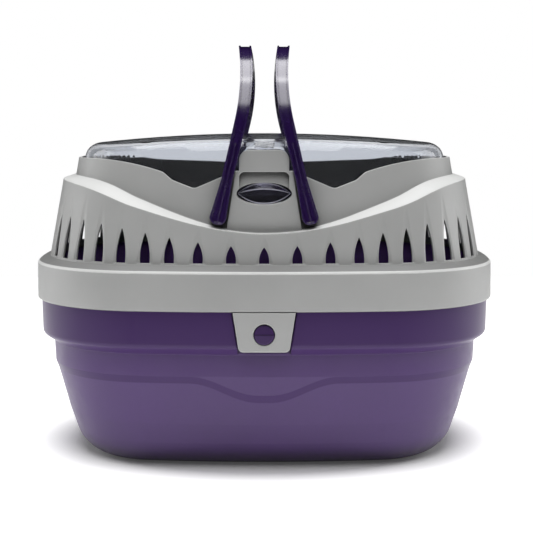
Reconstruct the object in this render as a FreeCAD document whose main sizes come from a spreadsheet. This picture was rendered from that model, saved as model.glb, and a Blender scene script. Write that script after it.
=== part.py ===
import FreeCAD, Part
import math
import os

import Sketcher

# Small animal carrier: a tub, a vented cover, a clear lid, two bail handles and two push latches.
# Millimetres and degrees. +Z is up, -Y is the front, the origin is under the middle of the floor.

Vec = FreeCAD.Vector
Turn = FreeCAD.Rotation

# Driving dimensions. An inset is measured inwards from the outer face of the cover's band.
SIZES = {
    # Plan outline and walls
    "half_length": 203.2,
    "half_depth": 153.2,
    "front_bow_radius": 900,
    "side_bow_radius": 520,
    "corner_radius": 108,
    "wall": 2.5,
    "slide_gap": 0.5,
    "rest_gap": 0.3,
    "pin_gap": 0.06,
    "overrun": 20,
    # Tub
    "floor_inset": 40.6,
    "floor_round": 34,
    "knee_height": 41,
    "knee_inset": 27,
    "step_rise": 37,
    "step_inset": 17,
    "step_face": 6.3,
    "step_depth": 2.4,
    "neck_rise": 18.7,
    "neck_inset": 13.8,
    "skirt_rise": 7,
    "skirt_draft": 1,
    "skirt_round": 5,
    "dip_depth": 17,
    "dip_half_width": 62,
    "dip_flat_half": 5,
    "dip_slope": 0.465,
    # Cover, upwards from the skirt of the tub
    "band_gap_rise": 30,
    "ledge_rise": 31,
    "band_crown": 1.5,
    "band_draft": 0.6,
    "band_round": 2.5,
    "band_low_round": 1.8,
    "shoulder_rise": 4.5,
    "grille_inset": 11.5,
    "wall_draft": 10.6,
    "seat_rise": 25.4,
    "seat_swing": 44,
    "seat_middle_slope": 0.05,
    "seat_end_slope": 0.25,
    "seat_swell_slope": 0.52,
    "seat_swell_power": 1.3,
    "upper_inset": 26.6,
    "core_inset": 46.2,
    "rim_rise": 60.4,
    # Vent slots
    "slot_sill": 1.4,
    "slot_width": 8,
    "slot_centre_count": 2,
    "slot_centre_pitch": 27,
    "slot_side_count": 11,
    "slot_side_start": 3.6,
    "slot_height_share": 0.555,
    "slot_shoulder_share": 0.55,
    "flute_height_share": 0.92,
    "flute_half": 7.35,
    "flute_depth": 1.6,
    "flute_top_radius": 6,
    # Dips of the front rim and the plain rear rim, from the seat and from the middle
    "rim_bend_place": 118,
    "rim_bend_radius": 200,
    "rim_step_place": 84,
    "rim_step_rise": 49.6,
    "rim_foot_place": 76.5,
    "rim_foot_rise": 43.1,
    "rim_dip_place": 58,
    "rim_dip_rise": 36,
    "rim_corner_round": 7,
    "rear_bend_place": 140,
    "rear_bend_radius": 120,
    "rear_level_place": 112,
    "rear_level_rise": 54,
    # Towers at the front and rear
    "tower_inset": 23.2,
    "tower_foot_half": 35.2,
    "tower_half": 23.4,
    "tower_rise": 50.6,
    "tab_half": 20.4,
    "tab_rise": 68,
    "tab_round": 8,
    "tab_thickness": 3.5,
    "scoop_half": 20.5,
    "scoop_low_rise": 28,
    "scoop_depth": 6.5,
    "scoop_round": 9,
    "scoop_top_round": 4.5,
    "oval_half": 22.7,
    "oval_half_height": 9,
    "oval_rise": 32.5,
    # Handles
    "pivot_place": 37.4,
    "pivot_rise": 14.6,
    "pivot_boss_radius": 7.5,
    "leg_gap": 0.4,
    "leg_thickness": 6.5,
    "grip_thickness": 5.5,
    "handle_reach": 135.6,
    "bail_round": 62,
    "strip_half": 4.5,
    "grip_half": 5.2,
    "flare_half": 7,
    "flare_length": 30,
    "flare_round": 40,
    "flare_end_share": 0.75,
    "lean": 13.5,
    "bend_start": 114,
    "bend_angle": 24,
    "bend_radius": 170,
    "channel_depth": 0.9,
    "channel_edge": 1.5,
    "rib_half": 0.5,
    "rib_length": 60,
    "pin_radius": 4,
    "pin_bite": 4.5,
    "pin_head_radius": 6,
    "pin_head_thickness": 2,
    "pin_head_gap": 2.4,
    # Lid
    "lid_inset": 41.7,
    "lid_draft": 4,
    "lid_wall": 2.2,
    "lid_low_rise": 30.6,
    "lid_top_rise": 80.6,
    "lid_crown_radius": 1400,
    "lid_round": 13,
    "stop_half": 14,
    "stop_height": 3,
    "stop_reach": 6,
    "stop_root_share": 0.5,
    "tongue_half": 25,
    "tongue_thickness": 2.2,
    "tongue_gap": 0.8,
    "tongue_low_rise": 18,
    "tongue_top_rise": 58,
    "tongue_pad_rise": 44,
    "boss_half": 21.2,
    "boss_half_height": 8,
    "boss_brow_height": 3.6,
    "boss_reach": 8,
    "hinge_inset": 48.2,
    "hinge_rise": 47.6,
    "hinge_pin_radius": 2,
    "hinge_pin_half": 15,
    "hinge_barrel_radius": 5,
    "hinge_barrel_half": 10,
    "hinge_ear_gap": 0.4,
    "hinge_ear_width": 4,
    "hinge_ear_round": 4.5,
    "hinge_notch_gap": 1.5,
    # Latches
    "latch_top_half": 25.5,
    "latch_low_half": 20.5,
    "latch_drop": 32.3,
    "latch_round": 4,
    "latch_gap": 1.3,
    "recess_inset": 13,
    "button_drop": 18,
    "button_radius": 7.9,
    "button_hole_gap": 0.9,
    "button_proud": 0.6,
    "button_bore_gap": 0.1,
    "button_ramp": 2,
    "flange_radius": 10.5,
    "flange_thickness": 1.8,
    "housing_wall": 1.8,
    "housing_gap": 0.7,
    "housing_length": 15,
    "housing_lip": 2.5,
    "spring_half": 9.5,
    "spring_half_width": 3,
    "spring_thickness": 0.6,
}

SEAT_SAMPLES = 6
DIP_SAMPLES = 16
FRONT_ARC = 6

doc = FreeCAD.newDocument("carrier")
sheet = doc.addObject("Spreadsheet::Sheet", "Sizes")
for row, (alias, number) in enumerate(SIZES.items(), start=1):
    sheet.set(f"A{row}", alias)
    sheet.set(f"B{row}", str(number))
    sheet.setAlias(f"B{row}", alias)
doc.recompute()
probe = doc.addObject("App::FeaturePython", "Probe")


def value(expression):
    """Number that an expression on the sheet gives now."""
    return float(probe.evalExpression(expression))


def of(alias):
    """Expression for one cell of the sheet."""
    return f"Sizes.{alias}"


def add(*terms):
    """Expression for a sum of expressions."""
    return "(" + " + ".join(terms) + ")"


def minus(first, *terms):
    """Expression for the first term less the others."""
    return "(" + " - ".join((first,) + terms) + ")"


def scaled(term, factor):
    """Expression for a product of two expressions."""
    return f"({term} * {factor})"


def below(term):
    """Expression for the negative of a term."""
    return f"(-1 * {term})"


# Levels above the floor
FLOOR = of("wall")
KNEE = of("knee_height")
STEP = add(KNEE, of("step_rise"))
STEP_TOP = add(STEP, of("step_face"))
NECK = add(STEP_TOP, of("neck_rise"))
SKIRT = add(NECK, of("skirt_rise"))
BAND = add(SKIRT, of("band_gap_rise"))
LEDGE = add(BAND, of("ledge_rise"))
TUB_RIM = minus(LEDGE, of("rest_gap"))
BAND_TOP = add(LEDGE, of("band_crown"))
GRILLE = add(BAND_TOP, of("shoulder_rise"))
SILL = add(GRILLE, of("slot_sill"))
SEAT = add(GRILLE, of("seat_rise"))
RIM = add(SEAT, of("rim_rise"))
TOWER_TOP = add(SEAT, of("tower_rise"))
TAB_TOP = add(SEAT, of("tab_rise"))
OVAL = add(SEAT, of("oval_rise"))
PIVOT = add(SEAT, of("pivot_rise"))
LID_LOW = add(SEAT, of("lid_low_rise"))
LID_TOP = add(SEAT, of("lid_top_rise"))
HINGE = add(SEAT, of("hinge_rise"))
LATCH_LOW = minus(BAND, of("latch_drop"))
BUTTON = minus(BAND, of("button_drop"))
ABOVE_ALL = add(LID_TOP, of("overrun"))

# Insets and depths that follow from the driving ones
SKIRT_TOP_INSET = add(of("wall"), of("slide_gap"))
SKIRT_INSET = add(SKIRT_TOP_INSET, of("skirt_draft"))
STEP_TOP_INSET = minus(of("step_inset"), of("step_depth"))
POCKET_DEPTH = minus(of("half_depth"), of("recess_inset"), of("wall"))
RECESS_DEPTH = minus(of("half_depth"), of("recess_inset"))
TOWER_FACE = minus(of("half_depth"), of("tower_inset"))
HINGE_DEPTH = minus(of("half_depth"), of("hinge_inset"))
PIVOT_FACE = minus(of("half_depth"), of("upper_inset"))
LEG_INNER = add(PIVOT_FACE, of("leg_gap"))
LEG_OUTER = add(LEG_INNER, of("leg_thickness"))
BAIL_INNER_TOP = add(PIVOT, of("handle_reach"))
BAIL_OUTER_TOP = add(BAIL_INNER_TOP, of("grip_thickness"))


def drafted(inset, foot, level):
    """Inset of a drafted wall at a level, from its inset at its foot."""
    return add(inset, f"tan({of('wall_draft')}) * ({level} - {foot})")


def grille_inset(level):
    return drafted(of("grille_inset"), GRILLE, level)


def upper_inset(level):
    return drafted(of("upper_inset"), SEAT, level)


# Plan outline of eight tangent arcs about fixed centres


def plan_arcs(inset):
    """Centre, radius and end angles of the eight arcs, from the right side anticlockwise."""
    side_radius = value(of("side_bow_radius"))
    front_radius = value(of("front_bow_radius"))
    corner_radius = value(of("corner_radius"))
    side_centre = side_radius - value(of("half_length"))
    front_centre = front_radius - value(of("half_depth"))
    side_reach = side_radius - corner_radius
    front_reach = front_radius - corner_radius
    span = math.hypot(side_centre, front_centre)
    along = (side_reach**2 - front_reach**2 + span**2) / (2 * span)
    across = math.sqrt(side_reach**2 - along**2)
    corner_x = -side_centre + along * side_centre / span + across * front_centre / span
    corner_y = -along * front_centre / span + across * side_centre / span
    side_angle = math.atan2(corner_y, corner_x + side_centre)
    front_angle = math.atan2(corner_y + front_centre, corner_x)
    half_turn = math.pi
    full_turn = 2 * math.pi
    side = side_radius - inset
    front = front_radius - inset
    corner = corner_radius - inset
    return [
        (Vec(-side_centre, 0), side, -side_angle, side_angle),
        (Vec(corner_x, corner_y), corner, side_angle, front_angle),
        (Vec(0, -front_centre), front, front_angle, half_turn - front_angle),
        (Vec(-corner_x, corner_y), corner, half_turn - front_angle, half_turn - side_angle),
        (Vec(side_centre, 0), side, half_turn - side_angle, half_turn + side_angle),
        (Vec(-corner_x, -corner_y), corner, half_turn + side_angle, half_turn + front_angle),
        (Vec(0, front_centre), front, half_turn + front_angle, full_turn - front_angle),
        (Vec(corner_x, -corner_y), corner, full_turn - front_angle, full_turn - side_angle),
    ]


def arc_point(arc, share):
    """Point on a plan arc and its outward normal, at a share of the arc's sweep."""
    centre, radius, start, end = arc
    angle = start + (end - start) * share
    normal = Vec(math.cos(angle), math.sin(angle))
    return centre + normal * radius, normal


def name_last(sketch, title, expression):
    """Name the last constraint of a sketch and bind it to the sheet."""
    sketch.renameConstraint(sketch.ConstraintCount - 1, title)
    sketch.setExpression(f"Constraints.{title}", expression)


def outline(name, inset, level):
    """Sketch of the plan outline at an inset and a level."""
    sketch = doc.addObject("Sketcher::SketchObject", name)
    sketch.setExpression("Placement.Base.z", level)
    arcs = plan_arcs(value(inset))
    for centre, radius, start, end in arcs:
        circle = Part.Circle(centre, Vec(0, 0, 1), radius)
        sketch.addGeometry(Part.ArcOfCircle(circle, start, end), False)
    for index in range(len(arcs)):
        following = (index + 1) % len(arcs)
        sketch.addConstraint(Sketcher.Constraint("Tangent", index, 2, following, 1))
    bows = ["side_bow_radius", "corner_radius", "front_bow_radius", "corner_radius"]
    for index, (centre, radius, start, end) in enumerate(arcs):
        bow = of(bows[index % len(bows)])
        sketch.addConstraint(Sketcher.Constraint("Radius", index, radius))
        name_last(sketch, f"radius_{index}", minus(bow, inset))
    for index in (0, 4):
        sign = 1 if index else -1
        distance = minus(of("side_bow_radius"), of("half_length"))
        sketch.addConstraint(Sketcher.Constraint("PointOnObject", index, 3, -1))
        sketch.addConstraint(Sketcher.Constraint("DistanceX", -1, 1, index, 3, sign * value(distance)))
        name_last(sketch, f"centre_{index}", scaled(str(sign), distance))
    for index in (2, 6):
        sign = -1 if index == 2 else 1
        distance = minus(of("front_bow_radius"), of("half_depth"))
        sketch.addConstraint(Sketcher.Constraint("PointOnObject", index, 3, -2))
        sketch.addConstraint(Sketcher.Constraint("DistanceY", -1, 1, index, 3, sign * value(distance)))
        name_last(sketch, f"centre_{index}", scaled(str(sign), distance))
    return sketch


def loft(name, sections):
    """Solid through plan outlines given as pairs of inset and level, from the lowest up."""
    sketches = [outline(f"{name}_{index}", *section) for index, section in enumerate(sections)]
    solid = doc.addObject("Part::Loft", name)
    solid.Sections = sketches
    solid.Solid = True
    solid.Ruled = True
    return solid


# Flat outlines with rounded corners, and prisms on them

PLANES = {"XZ": Turn(Vec(1, 0, 0), 90), "YZ": Turn(Vec(1, 1, 1), 120)}


def corner_arc(before, corner, after, radius):
    """Tangent points and circle centre of a rounded corner, and whether it turns left."""
    entering = (corner - before).normalize()
    leaving = (after - corner).normalize()
    turn = entering.cross(leaving).z
    half = math.acos(max(-1, min(1, entering.dot(leaving)))) / 2
    reach = radius * math.tan(half)
    first = corner - entering * reach
    last = corner + leaving * reach
    left = turn > 0
    side = Vec(-entering.y, entering.x) if left else Vec(entering.y, -entering.x)
    return first, last, first + side * radius, left


def flat_outline(name, plane, corners):
    """Closed sketch through corners of two expressions and, where it is rounded, a radius."""
    sketch = doc.addObject("Sketcher::SketchObject", name)
    sketch.Placement = FreeCAD.Placement(Vec(), PLANES[plane])
    points = [Vec(value(corner[0]), value(corner[1])) for corner in corners]
    count = len(corners)
    entries = list(points)
    exits = list(points)
    arcs = {}
    for index, corner in enumerate(corners):
        if len(corner) == 3:
            before = points[index - 1]
            after = points[(index + 1) % count]
            arcs[index] = corner_arc(before, points[index], after, value(corner[2]))
            entries[index], exits[index] = arcs[index][:2]
    for index in range(count):
        segment = Part.LineSegment(exits[index], entries[(index + 1) % count])
        sketch.addGeometry(segment, False)
    for index, corner in enumerate(corners):
        incoming = (index - 1) % count
        if index in arcs:
            mark = sketch.addGeometry(Part.Point(points[index]), True)
            round_corner(sketch, index, incoming, mark, arcs[index], value(corner[2]))
            name_last(sketch, f"round_{index}", corner[2])
        else:
            mark = None
            sketch.addConstraint(Sketcher.Constraint("Coincident", incoming, 2, index, 1))
        anchor = index if mark is None else mark
        for axis, expression in zip("XY", corner):
            rule = Sketcher.Constraint(f"Distance{axis}", -1, 1, anchor, 1, value(expression))
            sketch.addConstraint(rule)
            name_last(sketch, f"corner_{axis}_{index}", expression)
    return sketch


def round_corner(sketch, index, incoming, mark, arc, radius):
    """Arc between two lines of a sketch whose virtual corner is the marked point."""
    first, last, centre, left = arc
    start, end = (first, last) if left else (last, first)
    angles = [math.atan2(point.y - centre.y, point.x - centre.x) for point in (start, end)]
    circle = Part.Circle(centre, Vec(0, 0, 1), radius)
    curve = sketch.addGeometry(Part.ArcOfCircle(circle, *angles), False)
    entry, leave = (1, 2) if left else (2, 1)
    sketch.addConstraint(Sketcher.Constraint("PointOnObject", mark, 1, incoming))
    sketch.addConstraint(Sketcher.Constraint("PointOnObject", mark, 1, index))
    sketch.addConstraint(Sketcher.Constraint("Tangent", incoming, 2, curve, entry))
    sketch.addConstraint(Sketcher.Constraint("Tangent", index, 1, curve, leave))
    sketch.addConstraint(Sketcher.Constraint("Radius", curve, radius))


def prism(name, sketch, length):
    """Solid from a sketch pushed along its normal."""
    solid = doc.addObject("Part::Extrusion", name)
    solid.Base = sketch
    solid.DirMode = "Normal"
    solid.Solid = True
    solid.setExpression("LengthFwd", length)
    return solid


def front_prism(name, corners, near, far):
    """Prism on a front-view outline between two depths in front of the middle plane."""
    sketch = flat_outline(f"{name}_outline", "XZ", corners)
    sketch.setExpression("Placement.Base.y", below(near))
    return prism(name, sketch, minus(far, near))


def side_prism(name, corners, left, right):
    """Prism on a side-view outline between two places along the length."""
    sketch = flat_outline(f"{name}_outline", "YZ", corners)
    sketch.setExpression("Placement.Base.x", left)
    return prism(name, sketch, minus(right, left))


def mirrored_corners(corners):
    """Outline that is the same on both sides of the middle, from its right half."""
    left_half = [(below(corner[0]),) + tuple(corner[1:]) for corner in reversed(corners)]
    return list(corners) + left_half


def cylinder(name, radius, length, turn, place):
    """Cylinder turned from +Z, from a place given as three expressions."""
    solid = doc.addObject("Part::Cylinder", name)
    solid.setExpression("Radius", radius)
    solid.setExpression("Height", length)
    solid.Placement = FreeCAD.Placement(Vec(), turn)
    for axis, expression in zip("xyz", place):
        solid.setExpression(f"Placement.Base.{axis}", expression)
    return solid


def front_cylinder(name, radius, near, far, across, level):
    """Cylinder towards the front between two depths."""
    return cylinder(name, radius, minus(far, near), PLANES["XZ"], (across, below(near), level))


def side_cylinder(name, radius, half, depth, level):
    """Cylinder along the length, even about the middle."""
    return cylinder(name, radius, scaled("2", half), Turn(Vec(0, 1, 0), 90), (below(half), depth, level))


def shape_object(name, shape):
    """Object for a shape that follows a formula."""
    thing = doc.addObject("Part::Feature", name)
    thing.Shape = shape
    return thing


def fuse(name, *things):
    union = doc.addObject("Part::MultiFuse", name)
    union.Shapes = list(things)
    return union


def group(name, *things):
    bundle = doc.addObject("Part::Compound", name)
    bundle.Links = list(things)
    return bundle


def cut(name, base, tool):
    rest = doc.addObject("Part::Cut", name)
    rest.Base = base
    rest.Tool = tool
    return rest


def common(name, base, tool):
    shared = doc.addObject("Part::Common", name)
    shared.Base = base
    shared.Tool = tool
    return shared


def rounded(name, base, wanted, radius):
    """Fillet on the edges of an object that the test picks."""
    doc.recompute()
    fillet = doc.addObject("Part::Fillet", name)
    fillet.Base = base
    picked = [index for index, edge in enumerate(base.Shape.Edges, start=1) if wanted(edge)]
    fillet.Edges = [(index, value(radius), value(radius)) for index in picked]
    return fillet


def at_level(level):
    """Test for edges that lie wholly at a level."""
    height = value(level)
    tolerance = value(of("pin_gap"))

    def wanted(edge):
        box = edge.BoundBox
        return abs(box.ZMin - height) < tolerance and abs(box.ZMax - height) < tolerance

    return wanted


def turned(name, source):
    """Copy of an object turned half round to the rear."""
    copy = doc.addObject("Part::Compound", name)
    copy.Links = [source]
    copy.Placement = FreeCAD.Placement(Vec(), Turn(Vec(0, 0, 1), 180))
    return copy


def mirrored(name, source):
    """Copy of an object mirrored to the right side."""
    copy = doc.addObject("Part::Mirroring", name)
    copy.Source = source
    copy.Normal = Vec(1, 0, 0)
    return copy


# Tub


def tub_body():
    """Outside of the tub, with a rounded floor edge and skirt edge."""
    sections = [
        (of("floor_inset"), "0"),
        (of("knee_inset"), KNEE),
        (of("step_inset"), STEP),
        (STEP_TOP_INSET, STEP_TOP),
        (of("neck_inset"), NECK),
        (SKIRT_INSET, SKIRT),
        (SKIRT_TOP_INSET, TUB_RIM),
    ]
    blank = loft("tub_blank", sections)
    floor_edge = rounded("tub_floor_edge", blank, at_level("0"), of("floor_round"))
    return rounded("tub_body", floor_edge, at_level(SKIRT), of("skirt_round"))


def tub_hollow():
    """Inside of the tub, one wall within the outside."""
    faces = ("floor_inset", "knee_inset", "step_inset", "neck_inset")
    inside = [add(of(inset), of("wall")) for inset in faces]
    mouth = add(SKIRT_INSET, of("wall"))
    sections = [
        (inside[0], FLOOR),
        (inside[1], KNEE),
        (inside[2], STEP_TOP),
        (inside[3], NECK),
        (mouth, add(SKIRT, of("wall"))),
        (mouth, add(TUB_RIM, of("overrun"))),
    ]
    blank = loft("hollow_blank", sections)
    return rounded("tub_hollow", blank, at_level(FLOOR), minus(of("floor_round"), of("wall")))


def wave_point(across, lift):
    """Point on the slanted face of the wave, at a lift above its foot on the lower wall."""
    half = value(of("dip_half_width"))
    flat = value(of("dip_flat_half"))
    climb = max(0, abs(across) - flat) / (half - flat)
    share = (1 + math.cos(math.pi * climb)) / 2
    drop = value(of("dip_depth")) * share
    lean = (value(of("knee_inset")) - value(of("step_inset"))) / value(of("step_rise"))
    inset = value(of("step_inset")) + lean * drop
    bow = value(of("front_bow_radius")) - inset
    sag = bow - math.sqrt(bow**2 - across**2)
    step_slope = value(of("step_depth")) / value(of("step_face"))
    slope = step_slope + (value(of("dip_slope")) - step_slope) * share
    depth = sag + inset - value(of("half_depth")) - slope * lift
    return Vec(across, depth, value(STEP) - drop + lift)


def wave_prism(name):
    """Space above the slanted face of the dipping wave of the step."""
    half = value(of("dip_half_width"))
    edges = []
    for lift in (-value(of("step_face")), value(of("overrun"))):
        places = [half * (2 * index / DIP_SAMPLES - 1) for index in range(DIP_SAMPLES + 1)]
        edge = Part.BSplineCurve()
        edge.interpolate([wave_point(across, lift) for across in places])
        edges.append(edge.toShape())
    face = Part.makeRuledSurface(*edges)
    return shape_object(name, face.extrude(Vec(0, 0, value(ABOVE_ALL))))


def tub_wave():
    """Panel that carries the upper wall down to the wave at the front."""
    outer_knee = minus(of("knee_inset"), of("step_depth"))
    skin = loft("wave_skin", [(outer_knee, KNEE), (STEP_TOP_INSET, STEP_TOP)])
    return common("tub_wave", skin, wave_prism("wave_prism"))


def latch_outline(gap):
    """Front outline of a latch tab, or of its recess with a gap around it, open upwards."""
    top = (add(of("latch_top_half"), gap), add(BAND, gap))
    low = (add(of("latch_low_half"), gap), LATCH_LOW)
    return top, low


def recess_cutter():
    """Space for a latch tab in the skirt, open below, and the bore of the button."""
    top, low = latch_outline(of("latch_gap"))
    foot = (low[0], minus(LATCH_LOW, of("overrun")))
    reach = add(of("half_depth"), of("overrun"))
    space = front_prism("recess_space", mirrored_corners([foot, low, top]), RECESS_DEPTH, reach)
    bore = add(of("button_radius"), of("button_bore_gap"))
    hole = front_cylinder("button_bore", bore, minus(POCKET_DEPTH, of("overrun")), reach, "0", BUTTON)
    return fuse("recess_cutter", space, hole)


def pocket_block(body):
    """Wall round the latch recess on the inside of the tub."""
    half = add(of("latch_top_half"), of("latch_gap"), of("wall"))
    top = add(BAND, of("latch_gap"), of("wall"))
    foot = minus(NECK, of("wall"))
    corners = mirrored_corners([(half, foot), (half, top)])
    block = front_prism("pocket_blank", corners, POCKET_DEPTH, of("half_depth"))
    return common("pocket_block", block, body)


def base_tub():
    body = tub_body()
    wave = tub_wave()
    outside = fuse("tub_outside", body, wave, turned("rear_wave", wave))
    shell = cut("tub_shell", outside, tub_hollow())
    pocket = pocket_block(body)
    walled = fuse("tub_walled", shell, pocket, turned("rear_pocket", pocket))
    recess = recess_cutter()
    return cut("base_tub", walled, group("recesses", recess, turned("rear_recess", recess)))


# Cover


def seat_height(across):
    """Height of the outer edge of the handle seat at a place along the length."""
    wave = (1 - math.cos(math.pi * across / value(of("half_length")))) / 2
    return value(SEAT) + value(of("seat_swing")) * wave


def seat_slope(across):
    """Inward rise of the handle seat at a place along the length, steepest half-way out."""
    place = min(1, abs(across) / value(of("half_length")))
    middle = value(of("seat_middle_slope"))
    end = value(of("seat_end_slope"))
    swell = math.sin(math.pi * place ** value(of("seat_swell_power"))) ** 2
    return middle + (end - middle) * place**2 + value(of("seat_swell_slope")) * swell


def seat_loop(inset, drop):
    """Closed curve on the seat surface at an inset, lowered by a drop."""
    points = []
    draft = math.tan(math.radians(value(of("wall_draft"))))
    for arc, edge_arc in zip(plan_arcs(inset), plan_arcs(value(upper_inset(SEAT)))):
        for index in range(SEAT_SAMPLES):
            point, normal = arc_point(arc, index / SEAT_SAMPLES)
            across = arc_point(edge_arc, index / SEAT_SAMPLES)[0].x
            height = seat_height(across)
            edge = value(of("grille_inset")) + draft * (height - value(GRILLE))
            height = height + seat_slope(across) * (inset - edge) - drop
            points.append(Vec(point.x, point.y, height))
    curve = Part.BSplineCurve()
    curve.interpolate(points, PeriodicFlag=True)
    return curve


def seat_ring(name, drop):
    """Ring of space under the seat surface, lowered by a drop."""
    outer = seat_loop(value(of("slide_gap")), drop)
    inner = seat_loop(value(of("core_inset")), drop)
    foot = value(LEDGE) - value(of("overrun"))
    rims = [Part.Wire(curve.toShape()) for curve in (outer, inner)]
    feet = []
    for curve in (outer, inner):
        poles = [Vec(point.x, point.y, foot) for point in curve.getPoles()]
        flat = curve.copy()
        for index, point in enumerate(poles, start=1):
            flat.setPole(index, point)
        feet.append(Part.Wire(flat.toShape()))
    walls = [
        Part.makeRuledSurface(feet[0], rims[0]),
        Part.makeRuledSurface(rims[0], rims[1]),
        Part.makeRuledSurface(rims[1], feet[1]),
    ]
    bottom = Part.Face([feet[0], feet[1]])
    shell = Part.Shell([face for wall in walls for face in wall.Faces] + [bottom])
    return shape_object(name, Part.Solid(shell))


def front_rim():
    """Front outline under the front rim, with a dip on each side of the tower."""
    beyond = add(of("half_length"), of("overrun"))
    bend = of("rim_corner_round")
    return mirrored_corners([
        (beyond, LEDGE),
        (beyond, RIM),
        (of("rim_bend_place"), RIM, of("rim_bend_radius")),
        (of("rim_step_place"), add(SEAT, of("rim_step_rise")), bend),
        (of("rim_foot_place"), add(SEAT, of("rim_foot_rise")), bend),
        (of("rim_dip_place"), add(SEAT, of("rim_dip_rise")), bend),
        (of("tower_half"), TOWER_TOP),
    ])


def rear_rim():
    """Front outline under the rear rim, nearly level between its ends."""
    beyond = add(of("half_length"), of("overrun"))
    level = add(SEAT, of("rear_level_rise"))
    return mirrored_corners([
        (beyond, LEDGE),
        (beyond, RIM),
        (of("rear_bend_place"), RIM, of("rear_bend_radius")),
        (of("rear_level_place"), level, of("rear_bend_radius")),
        (of("tower_half"), TOWER_TOP),
    ])


def tower():
    """Block between the handles, with its lip on top."""
    corners = mirrored_corners([(of("tower_foot_half"), GRILLE), (of("tower_half"), TOWER_TOP)])
    near = minus(of("half_depth"), of("core_inset"))
    block = front_prism("tower_block", corners, near, TOWER_FACE)
    lip_foot = minus(TOWER_TOP, of("wall"))
    lip_corners = mirrored_corners([(of("tab_half"), lip_foot), (of("tab_half"), TAB_TOP, of("tab_round"))])
    lip_near = minus(TOWER_FACE, of("tab_thickness"))
    lip = front_prism("tower_lip", lip_corners, lip_near, TOWER_FACE)
    return fuse("tower", block, lip)


def pivot_bosses():
    """Flat-faced bosses for the handle pivots of one side."""
    near = minus(of("half_depth"), of("core_inset"))
    places = (of("pivot_place"), below(of("pivot_place")))
    bosses = [
        front_cylinder(f"pivot_boss_{index}", of("pivot_boss_radius"), near, PIVOT_FACE, place, PIVOT)
        for index, place in enumerate(places)
    ]
    return fuse("pivot_bosses", *bosses)


def pivot_bores():
    near = minus(of("half_depth"), of("core_inset"))
    radius = add(of("pin_radius"), of("pin_gap"))
    places = (of("pivot_place"), below(of("pivot_place")))
    bores = [
        front_cylinder(f"pivot_bore_{index}", radius, near, of("half_depth"), place, PIVOT)
        for index, place in enumerate(places)
    ]
    return group("pivot_bores", *bores)


def cover_outside():
    band_sections = [("0", BAND), (of("band_draft"), BAND_TOP), (of("grille_inset"), GRILLE)]
    band_blank = loft("band_blank", band_sections)
    band_top = rounded("band_top", band_blank, at_level(BAND_TOP), of("band_round"))
    band = rounded("band", band_top, at_level(BAND), of("band_low_round"))
    grille_sections = [(of("grille_inset"), GRILLE), (grille_inset(TAB_TOP), TAB_TOP)]
    grille = common("grille", loft("grille_blank", grille_sections), seat_ring("seat", 0))
    upper_sections = [(upper_inset(GRILLE), GRILLE), (upper_inset(ABOVE_ALL), ABOVE_ALL)]
    reach = add(of("half_depth"), of("overrun"))
    front_space = front_prism("front_rim_space", front_rim(), "0", reach)
    rear_space = front_prism("rear_rim_space", rear_rim(), below(reach), "0")
    rim = fuse("rim_space", front_space, rear_space)
    rim.Refine = True
    upper = common("upper", loft("upper_blank", upper_sections), rim)
    front_tower = tower()
    bosses = pivot_bosses()
    rear = [turned("rear_tower", front_tower), turned("rear_bosses", bosses)]
    return fuse("cover_outside", band, grille, upper, front_tower, bosses, *rear)


def cover_hollow():
    """Inside of the cover: the band, the space under the seat and the upper opening."""
    low = minus(BAND, of("overrun"))
    band = loft("band_hollow", [(of("wall"), low), (of("wall"), LEDGE)])
    start = minus(LEDGE, of("wall"))
    inner = [(add(grille_inset(level), of("wall")), level) for level in (start, TAB_TOP)]
    grille = common("grille_hollow", loft("grille_core", inner), seat_ring("seat_under", value(of("wall"))))
    upper_levels = (start, add(ABOVE_ALL, of("overrun")))
    upper_sections = [(add(upper_inset(level), of("wall")), level) for level in upper_levels]
    return fuse("cover_hollow", band, grille, loft("upper_hollow", upper_sections))


def ogive(half, foot, top, place, normal, depth):
    """Pointed-arch wire in the plane of a slot, at a depth outwards from its place."""
    along = Vec(-normal.y, normal.x)
    lift = Vec(0, 0, 1)

    def spot(across, level):
        return place + normal * depth + along * across + lift * level

    height = top - foot
    shoulder_share = value(of("slot_shoulder_share"))
    shoulder_level = foot + height * shoulder_share
    shoulder_half = half * math.sqrt(1 - shoulder_share**2)
    corners = [spot(-half, foot), spot(half, foot), spot(0, top)]
    middles = [spot(shoulder_half, shoulder_level), spot(-shoulder_half, shoulder_level)]
    return Part.Wire([
        Part.LineSegment(corners[0], corners[1]).toShape(),
        Part.Arc(corners[1], middles[0], corners[2]).toShape(),
        Part.Arc(corners[2], middles[1], corners[0]).toShape(),
    ])


def slot_distances(quarter):
    """Distances of the slots of a quarter from the middle of the front, along the grille."""
    centre_pitch = value(of("slot_centre_pitch"))
    centre_count = int(value(of("slot_centre_count")))
    side_count = int(value(of("slot_side_count")))
    last = centre_pitch * centre_count + value(of("slot_side_start"))
    side_pitch = (quarter - last) / side_count
    distances = [centre_pitch * index for index in range(centre_count + 1)]
    return distances + [last + side_pitch * index for index in range(1, side_count + 1)]


def slot_places():
    """Places and normals of the slots, from the middle of the front round to the right side and on."""
    arcs = plan_arcs(value(grille_inset(SEAT)))
    arcs = arcs[FRONT_ARC:] + arcs[:FRONT_ARC]
    lengths = [radius * (end - start) for centre, radius, start, end in arcs]
    quarter = sum(lengths) / 4
    outward = slot_distances(quarter)
    homeward = [2 * quarter - distance for distance in reversed(outward[1:-1])]
    front = lengths[0] / 2
    for half in (0, 2 * quarter):
        for distance in outward + homeward:
            distance = (front + half + distance) % sum(lengths)
            turn = 0
            while distance > lengths[turn]:
                distance -= lengths[turn]
                turn += 1
            yield arc_point(arcs[turn], distance / lengths[turn])


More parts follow.
